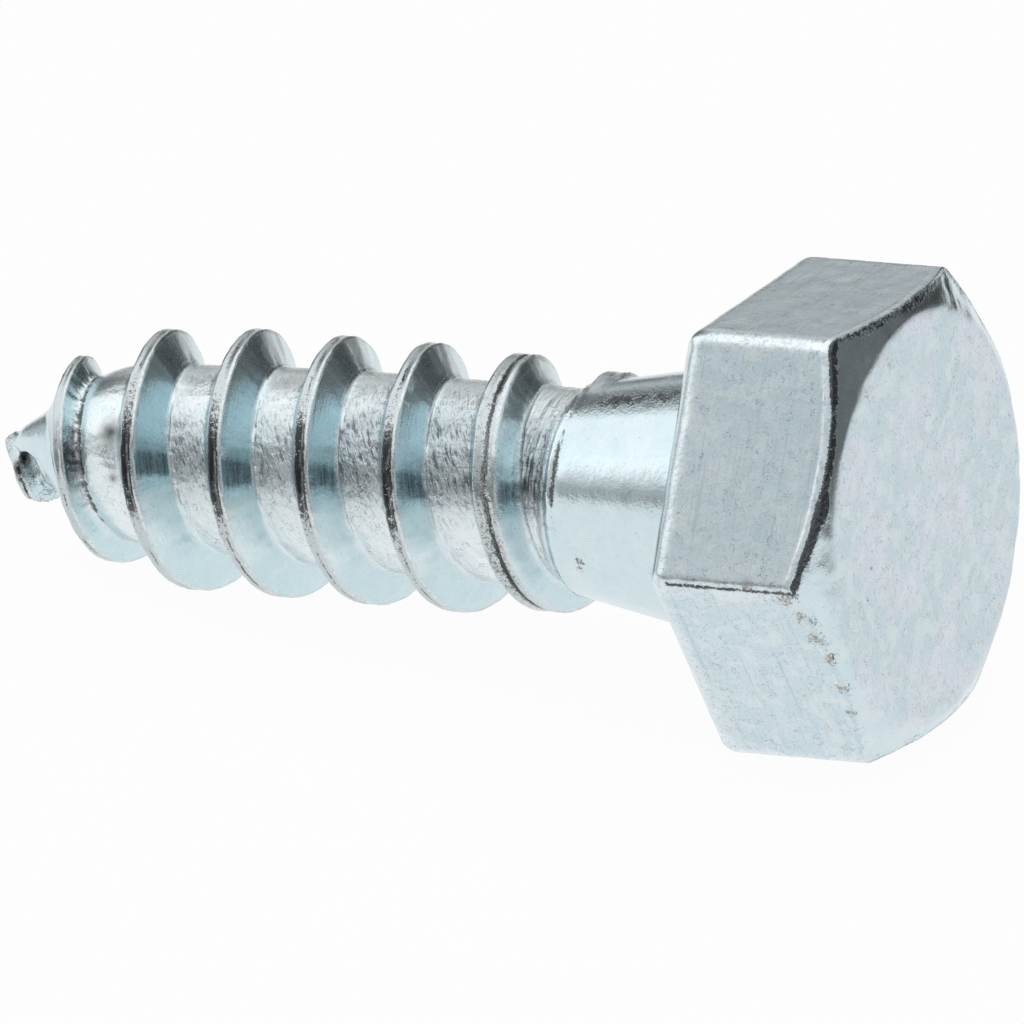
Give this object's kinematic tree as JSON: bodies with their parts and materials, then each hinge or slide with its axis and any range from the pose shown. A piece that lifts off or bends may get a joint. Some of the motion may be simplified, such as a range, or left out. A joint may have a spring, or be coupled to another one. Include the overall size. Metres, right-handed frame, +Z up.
{
  "type": "lag screw",
  "caption": "Hexagon head lag screw for wood: chamfered head, short tapering neck, coarse rolled thread and a cone point, in zinc-plated steel.",
  "frame": {"origin": "on the floor, under the middle of the screw's box as it lies on one flat of its head", "axes": "+X from the point toward the head, seen from above; +Z up; the screw's own axis lies in the XZ plane and rises toward the head by 7.9 degrees"},
  "size_m": [0.0304, 0.0146, 0.0132],
  "materials": {
    "zinc_plated_steel": "bright zinc plate with a faint blue tint, worn and stained at the edges"
  },
  "bodies": {
    "root": {"lag_screw": "zinc_plated_steel"}
  },
  "joints": []
}
